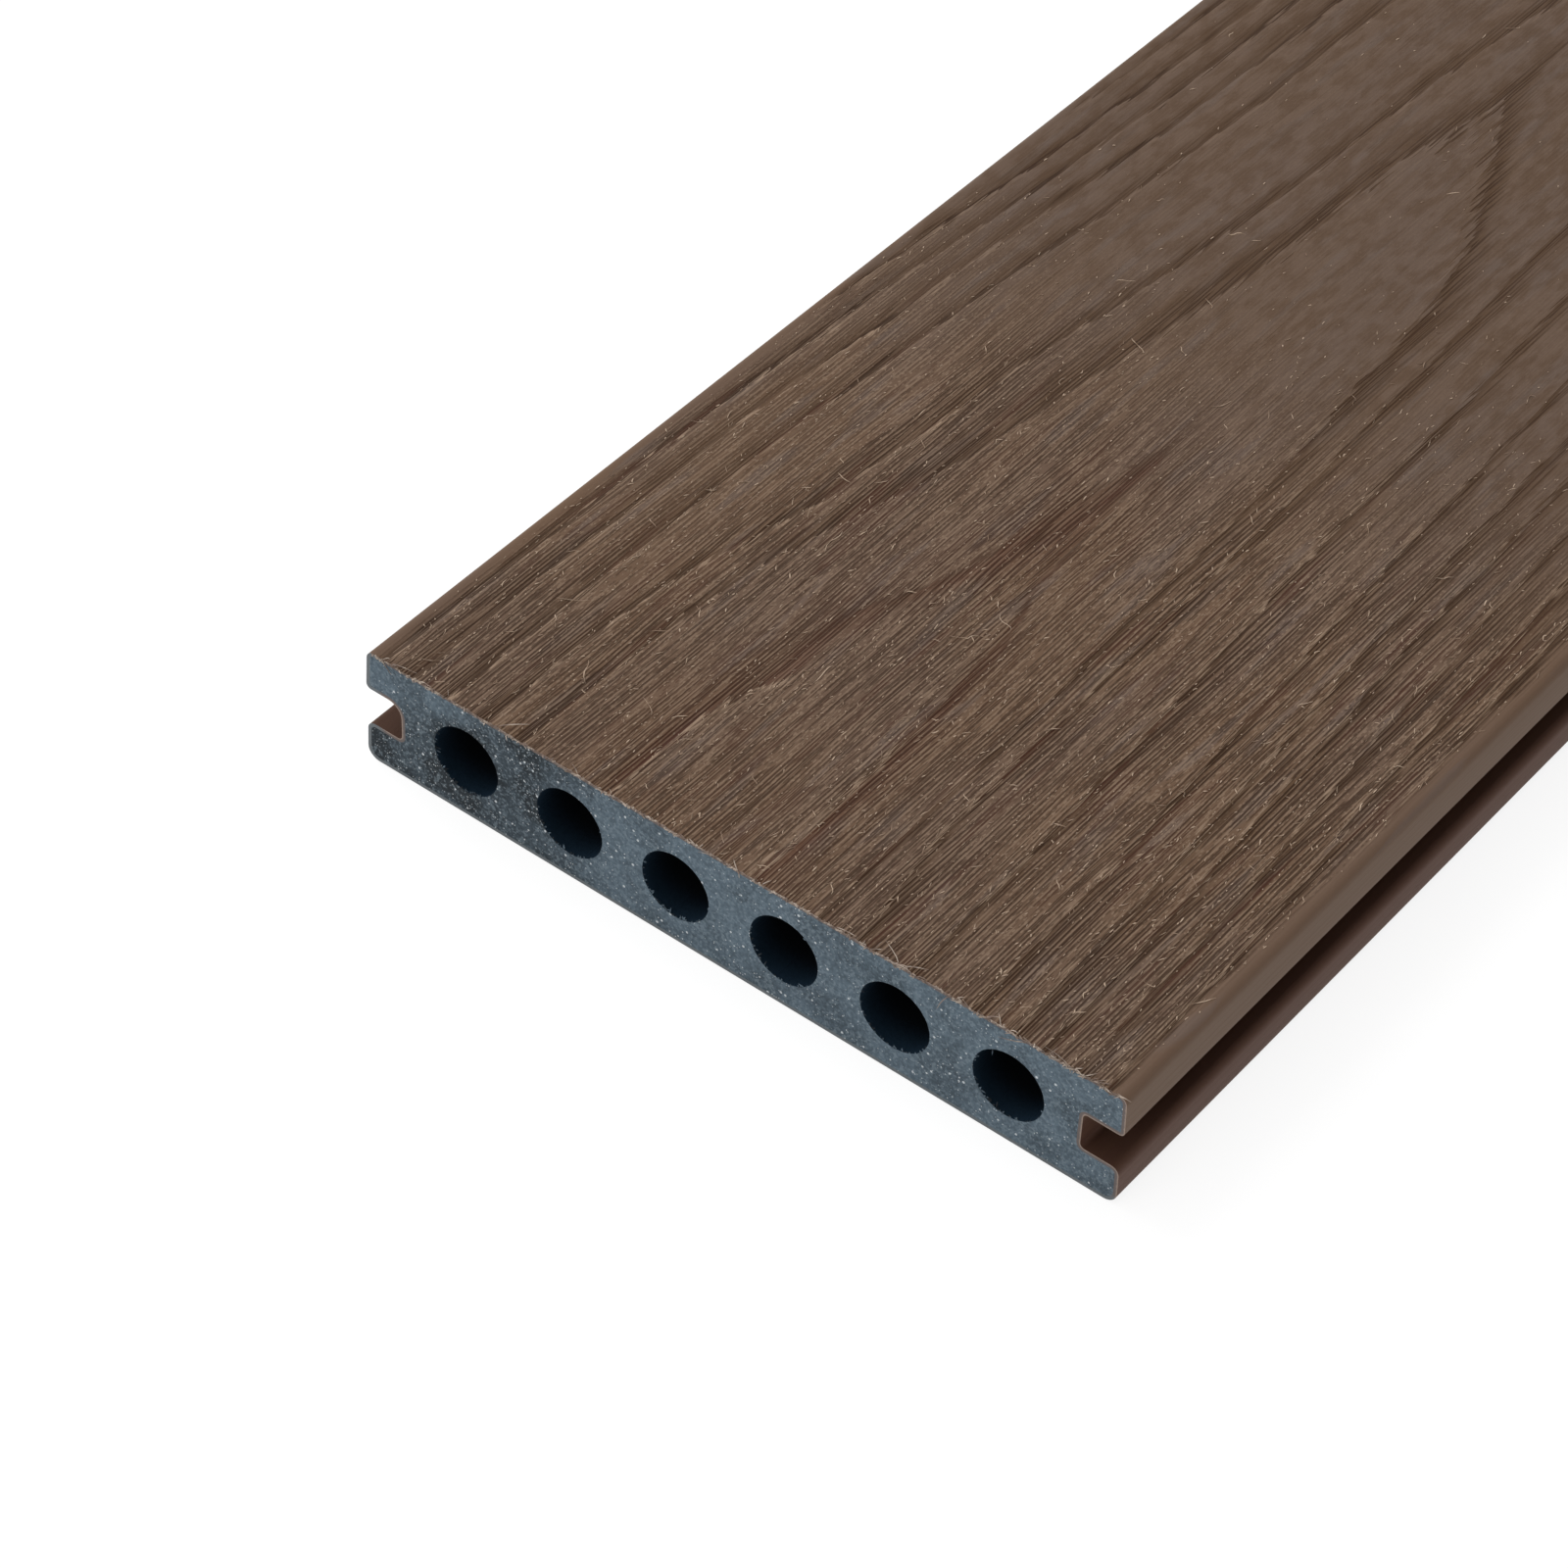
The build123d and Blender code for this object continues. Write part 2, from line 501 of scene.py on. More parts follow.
def hair_tubes(root, along, bend, wave, length, radius, points):
    """Joined three-sided tubes that taper at both ends, one for each root. A tube's middle line is the
    root plus its length times s along, s squared of bend and a sine of s of wave, for s from 0 to 1.
    Returns points and faces."""
    s = np.linspace(0, 1, points)[None, :, None]
    reach = s * along[:, None] + s * s * bend[:, None] + np.sin(2 * math.pi * s) * wave[:, None]
    line = root[:, None] + length[:, None, None] * reach
    tangent = np.gradient(line, axis=1)
    tangent /= np.linalg.norm(tangent, axis=2, keepdims=True) + NO_SIZE
    side = np.cross(tangent, HAIR_TURN)
    side /= np.linalg.norm(side, axis=2, keepdims=True) + NO_SIZE
    upper = np.cross(side, tangent)
    corner = np.linspace(0, 2 * math.pi, HAIR_SIDES, endpoint=False)
    thick = radius[:, None, None] * (1 - HAIR_TAPER * np.abs(2 * s - 1) ** 3)
    ring = np.cos(corner)[:, None] * side[:, :, None] + np.sin(corner)[:, None] * upper[:, :, None]
    tube = line[:, :, None] + thick[..., None] * ring
    size = points * HAIR_SIDES
    quads = grid_faces(points, HAIR_SIDES)
    tip = np.arange(HAIR_SIDES)
    tips = np.array([tip[::-1], size - HAIR_SIDES + tip])
    first = size * np.arange(len(root))[:, None, None]
    return tube.reshape(-1, 3), [(first + quads).reshape(-1, 4), (first + tips).reshape(-1, HAIR_SIDES)]


def scattered(rng, count, x, y, z):
    """Random vectors with a normal spread along each axis."""
    return rng.normal(size=(count, 3)) * np.array([x, y, z])


def random_directions(rng, count, y, z):
    """Unit vectors about X with a normal spread in Y and Z, half of them turned round."""
    way = scattered(rng, count, 0.0, y, z)
    way[:, 0] = rng.choice([-1.0, 1.0], count)
    return way / np.linalg.norm(way, axis=1, keepdims=True)


def random_lengths(rng, count, mean, spread, shortest, longest):
    """Random lengths in mm whose logarithms have a mean and a normal spread, clipped at both ends."""
    return np.clip(rng.lognormal(mean, spread, count), shortest, longest)


def face_roots(rng, count, near_share):
    """Random points just above the embossed face, closer together just inside the ring lines. The near
    share of them lies within the fuzzy length of the near end, and falls evenly to nothing over it."""
    tries = TRIES_PER_ROOT * count
    x = rng.uniform(ROOT_END_MARGIN, LENGTH - ROOT_END_MARGIN, tries)
    near = rng.random(tries) < near_share
    x = np.where(near, ROOT_END_MARGIN + FUZZY_LENGTH * (1 - np.sqrt(1 - x / LENGTH)), x)
    y = rng.uniform(-1, 1, tries) * (HALF_WIDTH - ROOT_SIDE_MARGIN)
    number, width, _, _ = grain_at(x, y)
    short_of_line = (1 - (number - np.floor(number))) * width
    beside_line = np.exp(-((short_of_line / FUZZY_LINE_WIDTH) ** 2))
    keep = rng.random(tries) < SHARE_OFF_LINES + (1 - SHARE_OFF_LINES) * beside_line
    x, y = x[keep][:count], y[keep][:count]
    return np.stack([NEAR_END + x, y, face_height(x, y) + ROOT_LIFT], 1)


def kept_on_board(root, along, bend, wave, length, radius):
    """The fibres whose tips stay over the board."""
    tip = root + length[:, None] * (along + bend)
    inside_ends = np.abs(tip[:, 0]) < LENGTH / 2 - TIP_END_MARGIN
    inside_sides = np.abs(tip[:, 1]) < HALF_WIDTH - TIP_SIDE_MARGIN
    keep = inside_ends & inside_sides
    return [part[keep] for part in (root, along, bend, wave, length, radius)]


def make_fibres():
    """Loose fibres that lie on the face: bowed and waved tubes a few mm long, most along the board."""
    rng = np.random.default_rng(seed=31)
    root = face_roots(rng, FIBRE_COUNT, FIBRE_NEAR_SHARE)
    count = len(root)
    along = random_directions(rng, count, y=0.8, z=0.02)
    bend = scattered(rng, count, x=0.25, y=0.5, z=0.02)
    wave = scattered(rng, count, x=0.04, y=0.09, z=0.0)
    length = random_lengths(rng, count, mean=-0.05, spread=0.7, shortest=0.5, longest=7.0)
    radius = rng.uniform(low=0.06, high=0.1, size=count)
    fibres = kept_on_board(root, along, bend, wave, length, radius)
    return mesh_piece("loose_fibres", *hair_tubes(*fibres, points=6), "cap")


def make_flecks():
    """Short raised flecks of torn cap on the face, straight and nearly all along the board."""
    rng = np.random.default_rng(seed=32)
    root = face_roots(rng, FLECK_COUNT, FLECK_NEAR_SHARE)
    count = len(root)
    along = random_directions(rng, count, y=0.35, z=0.05)
    bend = scattered(rng, count, x=0.0, y=0.2, z=0.02)
    no_wave = np.zeros_like(bend)
    length = random_lengths(rng, count, mean=-0.75, spread=0.55, shortest=0.25, longest=2.2)
    radius = rng.uniform(low=0.06, high=0.12, size=count)
    flecks = kept_on_board(root, along, bend, no_wave, length, radius)
    return mesh_piece("torn_flecks", *hair_tubes(*flecks, points=4), "cap")


def make_fringe():
    """Burrs that the saw left along the top of both cut ends: a ragged row of stubs that lean out over the
    end, and longer hairs that lie back over the face, more of them towards the -Y corner."""
    rng = np.random.default_rng(seed=33)
    count = FRINGE_COUNT
    y = rng.uniform(-1, 1, count) * (HALF_WIDTH - FRINGE_SIDE_MARGIN)
    far = rng.random(count) < 0.5
    x = np.where(far, LENGTH, 0.0)
    z = face_height(x, y) - rng.uniform(low=0.0, high=0.3, size=count)
    root = np.stack([NEAR_END + x, y, z], 1)
    out = np.where(far, 1.0, -1.0)
    is_hair = rng.random(count) < 0.06 + 0.26 * eased((-y - 5) / 55)
    along = scattered(rng, count, x=0.3, y=0.7, z=0.25)
    along[:, 0] += np.where(is_hair, -FRINGE_LEAN, FRINGE_LEAN) * out
    along[:, 2] += FRINGE_LIFT
    bend = scattered(rng, count, x=0.3, y=0.6, z=0.1)
    bend[:, 2] -= FRINGE_LIFT
    no_wave = np.zeros_like(bend)
    stub = rng.uniform(low=0.2, high=0.6, size=count)
    hair = random_lengths(rng, count, mean=0.35, spread=0.5, shortest=0.5, longest=4.0)
    length = np.where(is_hair, hair, stub)
    radius = np.where(is_hair, 0.085, rng.uniform(low=0.08, high=0.16, size=count))
    tubes = hair_tubes(root, along, bend, no_wave, length, radius, points=5)
    return mesh_piece("saw_burrs", *tubes, "cap")


def make_bore_teeth():
    """Ragged teeth that the saw left on the lower rims of the bores, pointing into them."""
    rng = np.random.default_rng(seed=34)
    rims = 2 * len(BORE_CENTRES)
    count = TEETH_PER_RIM * rims
    bore = BORE_CENTRES[rng.integers(0, len(BORE_CENTRES), count)]
    far = rng.random(count) < 0.5
    angle = rng.normal(-0.35 * math.pi, 0.8, count)
    inward = -np.stack([np.cos(angle), np.sin(angle)], 1)
    rim = bore - inward * (BORE_RADIUS + TOOTH_ROOT_DEPTH)
    x = np.where(far, LENGTH - TOOTH_INSET, TOOTH_INSET) + NEAR_END
    root = np.concatenate([x[:, None], rim], 1)
    along = np.concatenate([rng.normal(0, 0.15, (count, 1)), inward], 1)
    along[:, 1:] += rng.normal(0, 0.6, (count, 2))
    bend = scattered(rng, count, x=0.1, y=0.4, z=0.4)
    no_wave = np.zeros_like(bend)
    length = random_lengths(rng, count, mean=-1.3, spread=0.45, shortest=0.12, longest=0.6)
    radius = rng.uniform(low=0.08, high=0.16, size=count)
    tubes = hair_tubes(root, along, bend, no_wave, length, radius, points=4)
    return mesh_piece("bore_teeth", *tubes, "core")


class Value:
    """A number in a shader tree, with the usual arithmetic done by Math nodes."""

    def __init__(self, tree, socket):
        self.tree = tree
        self.socket = socket

    def __add__(self, other):
        return calculated(self.tree, "ADD", self, other)

    def __sub__(self, other):
        return calculated(self.tree, "SUBTRACT", self, other)

    def __rsub__(self, other):
        return calculated(self.tree, "SUBTRACT", other, self)

    def __mul__(self, other):
        return calculated(self.tree, "MULTIPLY", self, other)

    def __truediv__(self, other):
        return calculated(self.tree, "DIVIDE", self, other)

    def __rtruediv__(self, other):
        return calculated(self.tree, "DIVIDE", other, self)

    __radd__ = __add__
    __rmul__ = __mul__


def add_node(tree, kind, inputs=(), **settings):
    """A shader node with its settings made and its inputs joined or given values."""
    node = tree.nodes.new("ShaderNode" + kind)
    for name, value in settings.items():
        setattr(node, name, value)
    for key, value in dict(inputs).items():
        value = value.socket if isinstance(value, Value) else value
        if isinstance(value, bpy.types.NodeSocket):
            tree.links.new(value, node.inputs[key])
        else:
            node.inputs[key].default_value = value
    return node


def calculated(tree, operation, *values):
    """Result of a Math node."""
    return Value(tree, add_node(tree, "Math", enumerate(values), operation=operation).outputs[0])


def fraction(value):
    """What is left of a value above its whole number."""
    return calculated(value.tree, "FRACT", value)


def greater(first, second):
    """The greater of two values."""
    return calculated(first.tree, "MAXIMUM", first, second)


def lesser(first, second):
    """The lesser of two values."""
    return calculated(first.tree, "MINIMUM", first, second)


def ramped(value, low, high, start=0.0, end=1.0):
    """Value eased from start to end as it goes from low to high."""
    inputs = {0: value, 1: low, 2: high, 3: start, 4: end}
    node = add_node(value.tree, "MapRange", inputs, interpolation_type="SMOOTHSTEP")
    return Value(value.tree, node.outputs[0])


def fading(value, low, high):
    """Value eased from 1 to 0 as it goes from low to high."""
    return ramped(value, low, high, 1.0, 0.0)


def mixed(share, first, second):
    """Colour that goes from first to second as share goes from 0 to 1."""
    return add_node(share.tree, "Mix", {0: share, 6: first, 7: second}, data_type="RGBA").outputs[2]


def parts(place):
    """The three coordinates of a place."""
    tree = place.tree
    return [Value(tree, part) for part in add_node(tree, "SeparateXYZ", {0: place}).outputs]


def vector(tree, x, y, z=0.0):
    """A place from its coordinates."""
    return Value(tree, add_node(tree, "CombineXYZ", {0: x, 1: y, 2: z}).outputs[0])


def attribute(tree, name):
    """A number stored on the piece's mesh."""
    return Value(tree, add_node(tree, "Attribute", attribute_name=name).outputs["Fac"])


def colour(red, green, blue):
    """Shader colour from the three parts of a screen colour out of 255, by the usual sRGB curve."""
    screen = np.array([red, green, blue]) / 255
    linear = np.where(screen <= 0.04045, screen / 12.92, ((screen + 0.055) / 1.055) ** 2.4)
    return (*linear.tolist(), 1.0)


def new_group(name, numbers, results):
    """An empty shader node group that takes a place and some numbers: the group, the place, the numbers
    and the sockets of its results."""
    group = bpy.data.node_groups.new(name, "ShaderNodeTree")
    group.interface.new_socket("Place", in_out="INPUT", socket_type="NodeSocketVector")
    for number in numbers:
        group.interface.new_socket(number, in_out="INPUT", socket_type="NodeSocketFloat")
    for result in results:
        group.interface.new_socket(result, in_out="OUTPUT", socket_type="NodeSocketFloat")
    given = group.nodes.new("NodeGroupInput").outputs
    values = [Value(group, given[number]) for number in numbers]
    return group, Value(group, given["Place"]), values, group.nodes.new("NodeGroupOutput").inputs


def make_streak_group():
    """Soft random streaks along X, of a given length and width in mm: noise on stretched coordinates.
    Mask is 0 where the noise is below Low and 1 above High."""
    numbers = ("Length", "Width", "Shift", "Low", "High")
    group, place, values, result = new_group("Streaks", numbers, ("Noise", "Mask"))
    length, width, shift, low, high = values
    x, y, z = parts(place)
    spot = vector(group, x / (length * MM) + shift, (y + z) / (width * MM) + shift)
    inputs = {"Vector": spot, "Scale": 1.0, "Detail": 1.0}
    noise = Value(group, add_node(group, "TexNoise", inputs, noise_dimensions="2D").outputs[0])
    group.links.new(noise.socket, result["Noise"])
    group.links.new(ramped(noise, low, high).socket, result["Mask"])
    return group


def line_noise(along):
    """Smooth random values along a line, about a half."""
    inputs = {"W": along, "Scale": 1.0, "Detail": 0.0}
    return Value(along.tree, add_node(along.tree, "TexNoise", inputs, noise_dimensions="1D").outputs[0])


def make_comb_group():
    """Fine lines along X, one in each strip of a given spacing in mm. A line wanders about the middle of
    its strip, and swells to its breadth and dies out again along its length. The lines fill about a given
    share of the strips."""
    numbers = ("Spacing", "Length", "Breadth", "Share", "Shift")
    group, place, values, result = new_group("Comb", numbers, ("Mask",))
    spacing, length, breadth, share, shift = values
    x, y, z = parts(place)
    jump = 37.31
    strip = (y + z) / (spacing * MM) + shift
    number = calculated(group, "FLOOR", strip)
    along = x / (length * MM) + number * jump + shift
    presence = line_noise(along)
    wander = line_noise(along * 0.2 + 7.7)
    off_middle = calculated(group, "ABSOLUTE", strip - number - 0.1 - wander * 0.8)
    edge = 0.72 - share * 0.44
    half = ramped(presence, edge - 0.06, edge + 0.08) * breadth / spacing * 0.5
    group.links.new(fading(off_middle, half * 0.65, half).socket, result["Mask"])
    return group


def make_speck_group():
    """Scattered round specks of a given spacing in mm over Y and Z: the middles of some Voronoi cells, each
    with its own random size. Share is how many cells have one, and Tone is a random number for each."""
    numbers = ("Spacing", "Share", "Shift")
    group, place, (spacing, share, shift), result = new_group("Specks", numbers, ("Mask", "Tone"))
    _, y, z = parts(place)
    inputs = {"Vector": vector(group, y + shift, z), "Scale": (1 / MM) / spacing}
    cells = add_node(group, "TexVoronoi", inputs, voronoi_dimensions="2D")
    drawn = add_node(group, "SeparateColor", {0: cells.outputs["Color"]}).outputs
    radius = ramped(Value(group, drawn[1]), 0.0, 1.0, start=0.12, end=0.34)
    spot = fading(Value(group, cells.outputs["Distance"]), radius * 0.7, radius)
    chosen = calculated(group, "LESS_THAN", drawn[0], share)
    group.links.new((spot * chosen).socket, result["Mask"])
    group.links.new(drawn[2], result["Tone"])
    return group


STREAKS = make_streak_group()
COMB = make_comb_group()
SPECKS = make_speck_group()


def grouped(group, result, place, *numbers):
    """One result of a node group placed in a material."""
    inputs = enumerate((place, *numbers))
    return Value(place.tree, add_node(place.tree, "Group", inputs, node_tree=group).outputs[result])


def streak(place, length, width, shift):
    """Soft streaks, about a half."""
    return grouped(STREAKS, "Noise", place, length, width, shift)


def streak_mask(place, length, width, shift, low, high):
    """Soft streaks, 0 where they are low and 1 where they are high."""
    return grouped(STREAKS, "Mask", place, length, width, shift, low, high)


def comb(place, spacing, length, breadth, share, shift):
    """Fine lines along the board."""
    return grouped(COMB, "Mask", place, spacing, length, breadth, share, shift)


def specks(place, spacing, share, shift, result="Mask"):
    """Scattered round specks."""
    return grouped(SPECKS, result, place, spacing, share, shift)


def noise(place, size, detail=2.0):
    """Even noise with features of about a size in mm."""
    inputs = {"Vector": place, "Scale": 1 / (size * MM), "Detail": detail}
    return Value(place.tree, add_node(place.tree, "TexNoise", inputs).outputs[0])


def station(distance):
    """X in metres, as the shaders have it, at a distance in mm from the near end."""
    return (NEAR_END + distance) * MM


def thin_line(distance):
    """A line about a millimetre wide that starts where a distance in mm is nothing."""
    return ramped(distance, 0.0, 0.15) * fading(distance, 0.4, 1.2)


def new_material(name):
    """A material with an empty tree, and its object coordinates."""
    material = bpy.data.materials.new(name)
    material.use_nodes = True
    tree = material.node_tree
    tree.nodes.clear()
    return material, Value(tree, add_node(tree, "TexCoord").outputs["Object"])


def finish_material(base, roughness, height, relief, specular):
    """Principled surface with a bump whose full height is relief in mm."""
    tree = height.tree
    bump = add_node(tree, "Bump", {"Strength": 1.0, "Distance": relief * MM, "Height": height}).outputs[0]
    inputs = {"Base Color": base, "Roughness": roughness, "Specular IOR Level": specular, "Normal": bump}
    surface = add_node(tree, "BsdfPrincipled", inputs)
    add_node(tree, "OutputMaterial", {"Surface": surface.outputs[0]})


LIGHT_BROWN = colour(103, 81, 64)
GREY_BROWN = colour(101, 81, 67)
DULL_BROWN = colour(96, 82, 73)
ASH_BROWN = colour(103, 90, 83)
BAND_BROWN = colour(79, 58, 40)
BAND_RED = colour(90, 55, 43)
DEEP_BROWN = colour(47, 29, 15)
DEEP_RED = colour(67, 34, 23)
TAN = colour(150, 128, 108)
LIP_BROWN = colour(108, 90, 77)
# The grooves' brown, partly their own colour and partly painted shade
GROOVE_BROWN_AND_PAINTED_SHADE = colour(70, 48, 39)
LOWER_LIP_BROWN = colour(96, 75, 67)
SAWN_PALE = colour(150, 133, 122)
SAWN_DULL = colour(106, 97, 94)
SAWN_GREY = colour(108, 113, 116)


def cap_material():
    """Teak-brown cap. On the face: dark bands outside each ring line, a pale torn edge inside it, a comb of
    fine dark lines with pale ridges between them, short pale and dark dashes, ash-grey streaks and some
    redder lines. A stretch beyond the near end is smoother, and towards the +Y edge the fine lines give way
    to dark cracks along the bands. Off the face: a plain drawn finish, with the grooves a darker brown that
    is partly their own colour and partly painted shade. At the cut ends: pale sawn cap, smeared grey at the
    underside and the +Y lips."""
    material, place = new_material("teak_cap")
    tree = place.tree
    along, across, up = parts(place)
    sway = (streak(place, length=60, width=9, shift=8.3) - 0.5) * (1.6 * MM)
    grain = vector(tree, along, across + sway, up)
    face = attribute(tree, "embossed")
    smooth = ramped(along, station(95), station(160)) * fading(along, station(300), station(440))
    faded = 1 - smooth * 0.88
    cracked = ramped(across, 36 * MM, 54 * MM) * ramped(along, station(15), station(80))

    gap = attribute(tree, "ring_gap")
    reach = attribute(tree, "band_reach")
    crisp = attribute(tree, "crisp_outside")
    torn = (streak(grain, length=11, width=0.5, shift=3.1) - 0.5) * 2.6
    ring = attribute(tree, "ring") + torn / greater(gap, 3.0)
    beyond = fraction(ring) * gap
    rise = (crisp * CRISP_SHARE + BAND_RISE) * reach
    fall = (BAND_FALL - crisp * CRISP_SHARE) * reach
    band = ramped(beyond, 0.0, rise) * fading(beyond, reach - fall, reach)
    beside_band = fading(beyond, 0.0, reach * 2.2)
    rim = thin_line(beyond) * (1 - crisp) + thin_line(reach - beyond) * crisp
    rim = rim * streak_mask(place, length=34, width=6, shift=2.9, low=0.3, high=0.55)
    rim = rim * greater(faded * 0.7 + 0.2, cracked)
    edge = fading(gap - beyond, 0.0, 0.55)
    edge = edge * streak_mask(grain, length=5, width=0.7, shift=7.7, low=0.4, high=0.55)
    edge = edge * (1 - crisp) * faded

    busy = streak_mask(grain, length=40, width=3.4, shift=9.1, low=0.38, high=0.6)
    calm = ramped(along, station(30), station(100)) * (1 - beside_band)
    share = beside_band * 0.15 + busy * 0.24 + 0.52 - calm * 0.12
    dark_line = comb(grain, spacing=0.68, length=22, breadth=0.33, share=share, shift=0.4)
    short_line = comb(grain, spacing=0.55, length=9, breadth=0.26, share=share - 0.2, shift=5.3)
    ridge = comb(grain, spacing=0.68, length=9, breadth=0.32, share=0.6, shift=0.9)
    dark_dash = comb(grain, spacing=0.5, length=2.0, breadth=0.3, share=0.35, shift=2.7)
    dark_dash = dark_dash * (1 - band)
    pale_dash = comb(grain, spacing=0.55, length=1.0, breadth=0.34, share=0.25, shift=7.1)
    pale_dash = pale_dash * (1 - band * 0.6)
    line = greater(dark_line * (beside_band * 0.25 + busy * 0.15 + 0.5), short_line * 0.66)
    line = greater(line, dark_dash * 0.45) * greater(faded, band * 0.85) * (1 - cracked * 0.6)
    fuzz = specks(vector(tree, 0.0, along * 0.7, across), spacing=0.7, share=0.22, shift=0.13) * (1 - band)
    pale = greater(greater(ridge * 0.36 * (1 - band * 0.5), pale_dash * 0.4), fuzz * 0.45) * faded

    grey = streak_mask(place, length=70, width=16, shift=1.3, low=0.35, high=0.65)
    ash = streak_mask(place, length=26, width=3.2, shift=3.3, low=0.58, high=0.74)
    base = mixed(ash * 0.45, mixed(grey, LIGHT_BROWN, GREY_BROWN), ASH_BROWN)
    base = mixed(smooth * 0.44, base, DULL_BROWN)
    mottle = ramped(noise(vector(tree, along * 0.35, across, up), size=1.9, detail=4.0), 0.38, 0.64)
    base = mixed(mottle * smooth * 0.5, base, BAND_BROWN)
    red = ramped(ring, 0.98, 1.02) * fading(ring, 1.4, 1.7)
    red = red * (streak_mask(place, length=30, width=5, shift=5.9, low=0.3, high=0.6) * 0.5 + 0.3)
    base = mixed(band * face * (smooth * 0.14 + 0.48), base, mixed(red, BAND_BROWN, BAND_RED))
    base = mixed(pale * face, base, TAN)
    reddish = streak_mask(place, length=30, width=2.6, shift=6.7, low=0.55, high=0.7)
    reddish = greater(reddish, red * 0.6) * faded
    dark = mixed(reddish * 0.65, DEEP_BROWN, DEEP_RED)
    base = mixed(greater(line, rim * (cracked * 0.35 + 0.52)) * face, base, dark)
    base = mixed(edge * face * 0.85, base, TAN)

    drawn = streak_mask(place, length=160, width=0.5, shift=4.4, low=0.3, high=0.7)
    # Partly painted shade: below 12 mm up the edge, the groove is a darker brown than the lips.
    lip = mixed(ramped(up, 12 * MM, 15 * MM), GROOVE_BROWN_AND_PAINTED_SHADE, LIP_BROWN)
    lip = mixed(ramped(up, 5.5 * MM, 7.5 * MM), LOWER_LIP_BROWN, lip)
    lip = mixed(drawn * 0.2, lip, BAND_BROWN)
    base = mixed(ramped(up, 20.3 * MM, 21.7 * MM), lip, base)
    smear = greater(fading(up, 0.9 * MM, 2 * MM), ramped(across, 66 * MM, 68 * MM))
    cut_depth = attribute(tree, "cut_depth") + noise(place, size=0.5) * 0.5
    sawn = mixed(ramped(cut_depth, 0.35, 0.75), SAWN_PALE, SAWN_DULL)
    base = mixed(attribute(tree, "sawn"), base, mixed(smear, sawn, SAWN_GREY))

    height = (pale_dash * 0.3 - dark_line * 0.7 - rim * 0.4) * face * faded
    height = height + noise(place, size=0.35) * 0.25 + drawn * 0.06
    finish_material(base, roughness=0.6, height=height, relief=0.14, specular=0.08)
    return material


CORE_GREY = colour(95, 110, 121)
CORE_PALE = colour(132, 145, 153)
CORE_DARK = colour(38, 43, 47)
CORE_SPECK = colour(214, 219, 222)
BORE_NAVY = colour(23, 40, 54)
# Painted shade deep inside the bores
BORE_PAINTED_SHADE = colour(4, 7, 10)


def core_material():
    """Saw-cut blue-grey core: grains of every tone from dark pits to pale bits, coarser and darker in torn
    patches and towards the +Y edge, with white glints and faint slanted saw lines. The bores have smooth
    dark navy walls, with painted shade that darkens them to near black within 7 mm of each end."""
    material, place = new_material("sawn_core")
    tree = place.tree
    along, across, up = parts(place)
    patches = ramped(noise(place, size=9.0, detail=3.0), 0.4, 0.62)
    torn_side = ramped(across, 18 * MM, 42 * MM) * fading(up + across * 0.35, 33 * MM, 39 * MM)
    rough = lesser(patches * 0.35 + torn_side * (patches * 0.25 + 0.66), 1.0)
    tone = specks(place, spacing=0.34, share=1.0, shift=0.0, result="Tone")
    grain = tone * 0.6 + ramped(noise(place, size=0.7), 0.3, 0.7) * 0.4
    pit = ramped(grain, 0.5, 0.2) * (rough * 0.25 + 0.28)
    bit = ramped(grain, 0.5, 0.85) * (rough * 0.05 + 0.4)
    turned = add_node(tree, "VectorRotate", {"Vector": place, "Axis": (1, 0, 0), "Angle": 0.8}).outputs[0]
    scored = parts(Value(tree, turned))[1]
    saw = ramped(noise(vector(tree, 0.0, scored), size=0.8), 0.55, 0.7)
    base = mixed(rough * 0.95, CORE_GREY, CORE_DARK)
    base = mixed(pit, base, CORE_DARK)
    base = mixed(bit, base, CORE_PALE)
    base = mixed(saw * 0.12, base, CORE_DARK)
    glint = specks(place, spacing=0.42, share=rough * 0.1 + 0.06, shift=0.37)
    glint = greater(glint * 0.8, specks(place, spacing=0.8, share=0.06, shift=0.71))
    base = mixed(glint * 0.85, base, CORE_SPECK)
    # Painted shade: the bore walls go from navy at each end to near black 7 mm inside.
    depth = LENGTH / 2 * MM - calculated(tree, "ABSOLUTE", along)
    bore = mixed(ramped(depth, 0.0, 7 * MM), BORE_NAVY, BORE_PAINTED_SHADE)
    base = mixed(attribute(tree, "bored"), base, bore)
    height = grain * 0.8 + glint * 0.4 - saw * 0.2
    finish_material(base, roughness=0.7, height=height, relief=0.1, specular=0.1)
    return material


FIBRE_PALE = colour(184, 162, 141)
FIBRE_DARK = colour(136, 114, 96)
BURR_PALE = colour(178, 164, 151)
BURR_DARK = colour(124, 108, 98)


def fibre_material(name, pale, dark):
    """Torn fibres: pale and darker lengths."""
    material, place = new_material(name)
    shade = streak_mask(place, length=3.0, width=1.5, shift=2.9, low=0.4, high=0.65)
    finish_material(mixed(shade, pale, dark), roughness=0.65, height=shade, relief=0.02, specular=0.1)
    return material


FLOOR_WHITE = colour(231, 231, 231)
FLOOR_GREY = colour(124, 124, 124)
FLOOR_GLOW = 0.86
FLOOR_HALF_WIDTH = 15.0
FLOOR_DROP = 0.2 * MM


def seen_directly(tree):
    """1 for what the camera sees, also by reflection or through glass, and 0 for light that bounces."""
    path = add_node(tree, "LightPath").outputs
    seen = calculated(tree, "MAXIMUM", path["Is Camera Ray"], path["Is Glossy Ray"])
    return greater(seen, path["Is Transmission Ray"])


